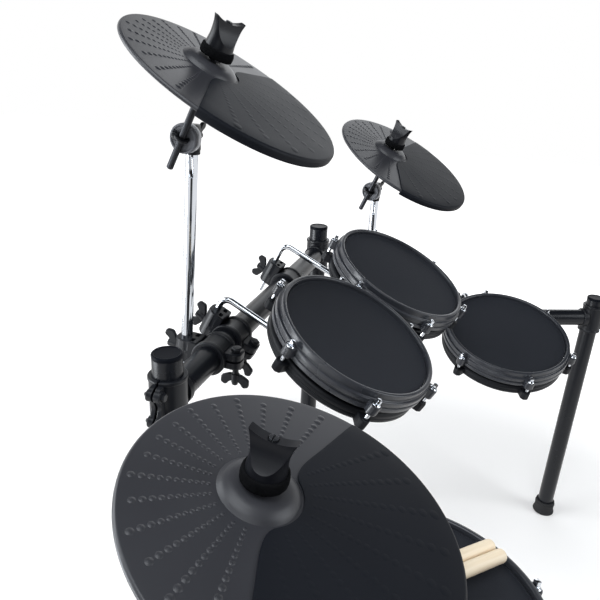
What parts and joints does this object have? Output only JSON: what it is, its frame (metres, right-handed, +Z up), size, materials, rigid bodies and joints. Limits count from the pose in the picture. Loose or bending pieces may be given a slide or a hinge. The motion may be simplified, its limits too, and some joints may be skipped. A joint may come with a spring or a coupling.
{
  "type": "electronic drum kit",
  "caption": "Electronic drum kit on a tube rack: mesh tom and snare pads on bent arms, dimpled cymbal pads on chrome poles, kick tower and pedals.",
  "frame": {"origin": "middle of the kit's footprint on the floor", "axes": "+X to the drummer's right along the centre tube, +Y away from the drummer, +Z up"},
  "size_m": [1.3363, 0.6743, 1.0822],
  "materials": {
    "tube_black": "satin",
    "cap_plastic": "matte",
    "clamp_plastic": "satin",
    "bolt_black": "satin",
    "arm_chrome": "polished",
    "mesh_head": "woven",
    "hoop_plastic": "satin",
    "shell_plastic": "satin",
    "screw_chrome": "polished",
    "trigger_plastic": "matte",
    "pole_chrome": "polished",
    "rod_black": "satin",
    "strike_rubber": "matte",
    "cymbal_plastic": "matte",
    "stick_wood": "satin",
    "module_plastic": "matte",
    "dial_plastic": "satin",
    "button_rubber": "matte",
    "tower_black": "satin",
    "pedal_black": "satin",
    "footboard_metal": "satin",
    "beater_metal": "satin"
  },
  "bodies": {
    "rack": {"centre_tubes": "tube_black", "centre_post_ends": "cap_plastic", "centre_clamps": "clamp_plastic", "centre_bolts": "bolt_black", "kick_tower": "tower_black", "kick_shell": "shell_plastic", "kick_head": "mesh_head", "kick_pedal_base": "pedal_black", "hihat_pedal_base": "pedal_black"},
    "left_side": {"left_tubes": "tube_black", "left_post_ends": "cap_plastic", "left_clamps": "clamp_plastic", "left_bolts": "bolt_black", "module_case": "module_plastic"},
    "right_side": {"right_tubes": "tube_black", "right_post_ends": "cap_plastic", "right_clamps": "clamp_plastic", "right_bolts": "bolt_black"},
    "tom_1_arm_body": {"tom_1_arm": "arm_chrome"},
    "tom_1_pad": {"tom_1_head": "mesh_head", "tom_1_hoop": "hoop_plastic", "tom_1_shell": "shell_plastic", "tom_1_screws": "screw_chrome", "tom_1_trigger": "trigger_plastic"},
    "tom_2_arm_body": {"tom_2_arm": "arm_chrome"},
    "tom_2_pad": {"tom_2_head": "mesh_head", "tom_2_hoop": "hoop_plastic", "tom_2_shell": "shell_plastic", "tom_2_screws": "screw_chrome", "tom_2_trigger": "trigger_plastic"},
    "tom_3_arm_body": {"tom_3_arm": "arm_chrome"},
    "tom_3_pad": {"tom_3_head": "mesh_head", "tom_3_hoop": "hoop_plastic", "tom_3_shell": "shell_plastic", "tom_3_screws": "screw_chrome", "tom_3_trigger": "trigger_plastic"},
    "snare_arm_body": {"snare_arm": "arm_chrome"},
    "snare_pad": {"snare_head": "mesh_head", "snare_hoop": "hoop_plastic", "snare_shell": "shell_plastic", "snare_screws": "screw_chrome", "snare_trigger": "trigger_plastic", "drumsticks": "stick_wood"},
    "crash_pole_body": {"crash_pole": "pole_chrome"},
    "crash_rod_body": {"crash_rod": "rod_black"},
    "crash_plate": {"crash_cymbal": "cymbal_plastic", "crash_rubber": "strike_rubber"},
    "ride_pole_body": {"ride_pole": "pole_chrome"},
    "ride_rod_body": {"ride_rod": "rod_black"},
    "ride_plate": {"ride_cymbal": "cymbal_plastic", "ride_rubber": "strike_rubber"},
    "hihat_pole_body": {"hihat_pole": "pole_chrome"},
    "hihat_rod_body": {"hihat_rod": "rod_black"},
    "hihat_plate": {"hihat_cymbal": "cymbal_plastic", "hihat_rubber": "strike_rubber"},
    "kick_footboard_body": {"kick_footboard": "footboard_metal"},
    "kick_beater_body": {"kick_beater": "beater_metal"},
    "hihat_footboard_body": {"hihat_footboard": "footboard_metal"},
    "module_dial_body": {"module_dial": "dial_plastic"},
    "module_button_body": {"module_button": "button_rubber"}
  },
  "joints": [
    {"name": "left_side_swing", "type": "hinge", "parent": "rack", "child": "left_side", "pos_m": [-0.19902, 0.26035, 0], "axis": [0, 0, 1], "range_deg": [-20, 5]},
    {"name": "right_side_swing", "type": "hinge", "parent": "rack", "child": "right_side", "pos_m": [0.39098, 0.26035, 0], "axis": [0, 0, 1], "range_deg": [0, 20]},
    {"name": "tom_1_arm_swing", "type": "hinge", "parent": "rack", "child": "tom_1_arm_body", "pos_m": [-0.02602, 0.29246, 0.69429], "axis": [0, -0.4524, 0.8918], "range_deg": [-15, 0]},
    {"name": "tom_1_roll", "type": "hinge", "parent": "tom_1_arm_body", "child": "tom_1_pad", "pos_m": [-0.02602, 0.27119, 0.7362], "axis": [0, 0.8918, 0.4524], "range_deg": [-12, 0]},
    {"name": "tom_2_arm_swing", "type": "hinge", "parent": "rack", "child": "tom_2_arm_body", "pos_m": [0.20498, 0.29287, 0.69344], "axis": [0, -0.4289, 0.9033], "range_deg": [0, 15]},
    {"name": "tom_2_roll", "type": "hinge", "parent": "tom_2_arm_body", "child": "tom_2_pad", "pos_m": [0.20498, 0.26713, 0.74764], "axis": [0, 0.9033, 0.4289], "range_deg": [0, 12]},
    {"name": "tom_3_arm_swing", "type": "hinge", "parent": "right_side", "child": "tom_3_arm_body", "pos_m": [0.55628, -0.02619, 0.54841], "axis": [-0.264, -0.1176, 0.9573], "range_deg": [0, 12]},
    {"name": "tom_3_roll", "type": "hinge", "parent": "tom_3_arm_body", "child": "tom_3_pad", "pos_m": [0.5453, -0.03108, 0.58823], "axis": [0.8746, 0.3894, 0.289], "range_deg": [-8, 8]},
    {"name": "snare_arm_swing", "type": "hinge", "parent": "left_side", "child": "snare_arm_body", "pos_m": [-0.45751, 0.05215, 0.54363], "axis": [0.1106, -0.1106, 0.9877], "range_deg": [0, 10]},
    {"name": "snare_roll", "type": "hinge", "parent": "snare_arm_body", "child": "snare_pad", "pos_m": [-0.45259, 0.04723, 0.58758], "axis": [-0.7921, 0.5904, 0.1548], "range_deg": [-6, 3]},
    {"name": "crash_pole_slide", "type": "slide", "parent": "rack", "child": "crash_pole_body", "axis": [0, -0.055, 0.9985], "range_m": [-0.04, 0.05]},
    {"name": "crash_tilter", "type": "hinge", "parent": "crash_pole_body", "child": "crash_rod_body", "pos_m": [-0.08152, 0.28529, 0.95279], "axis": [-1, 0, 0], "range_deg": [-15, 20]},
    {"name": "crash_rock", "type": "hinge", "parent": "crash_rod_body", "child": "crash_plate", "pos_m": [-0.10752, 0.24529, 1.03553], "axis": [-1, 0, 0], "range_deg": [-3, 9], "stiffness_Nm_per_rad": 4, "springref_deg": 0.98},
    {"name": "ride_pole_slide", "type": "slide", "parent": "right_side", "child": "ride_pole_body", "axis": [0, 0, 1], "range_m": [-0.04, 0.05]},
    {"name": "ride_tilter", "type": "hinge", "parent": "ride_pole_body", "child": "ride_rod_body", "pos_m": [0.39816, 0.15572, 0.816], "axis": [-0.965, 0.2622, 0], "range_deg": [-15, 20]},
    {"name": "ride_rock", "type": "hinge", "parent": "ride_rod_body", "child": "ride_plate", "pos_m": [0.36327, 0.12647, 0.89995], "axis": [-0.965, 0.2622, 0], "range_deg": [-3, 9], "stiffness_Nm_per_rad": 4, "springref_deg": 0.94},
    {"name": "hihat_pole_slide", "type": "slide", "parent": "left_side", "child": "hihat_pole_body", "axis": [0, 0, 1], "range_m": [0, 0.05]},
    {"name": "hihat_tilter", "type": "hinge", "parent": "hihat_pole_body", "child": "hihat_rod_body", "pos_m": [-0.42614, 0.08414, 0.6758], "axis": [1, 0, 0], "range_deg": [-10, 8]},
    {"name": "hihat_rock", "type": "hinge", "parent": "hihat_rod_body", "child": "hihat_plate", "pos_m": [-0.40014, 0.06818, 0.7663], "axis": [1, 0, 0], "range_deg": [-9, 1.5], "stiffness_Nm_per_rad": 4, "springref_deg": -1.18},
    {"name": "kick_footboard_press", "type": "hinge", "parent": "rack", "child": "kick_footboard_body", "pos_m": [0.03598, -0.16565, 0.02], "axis": [1, 0, 0], "range_deg": [-8, 0], "stiffness_Nm_per_rad": 6, "springref_deg": 10.68},
    {"name": "kick_beater_swing", "type": "hinge", "parent": "rack", "child": "kick_beater_body", "pos_m": [0.03598, 0.07235, 0.116], "axis": [1, 0, 0], "range_deg": [-36, 0]},
    {"name": "hihat_footboard_press", "type": "hinge", "parent": "rack", "child": "hihat_footboard_body", "pos_m": [-0.37402, -0.06965, 0.02], "axis": [0.9063, -0.4226, 0], "range_deg": [-6, 0], "stiffness_Nm_per_rad": 4, "springref_deg": 14.59},
    {"name": "module_dial_turn", "type": "hinge", "parent": "left_side", "child": "module_dial_body", "pos_m": [-0.53537, 0.0248, 0.65925], "axis": [0.3747, -0.3747, 0.848], "range_deg": [-135, 135]},
    {"name": "module_button_press", "type": "slide", "parent": "left_side", "child": "module_button_body", "axis": [0.3747, -0.3747, 0.848], "range_m": [-0.0015, 0], "stiffness_N_per_m": 300, "springref_m": 0.003}
  ],
  "couplings": [
    {"joint": "kick_beater_swing", "follows": "kick_footboard_press", "ratio": 4.5}
  ]
}
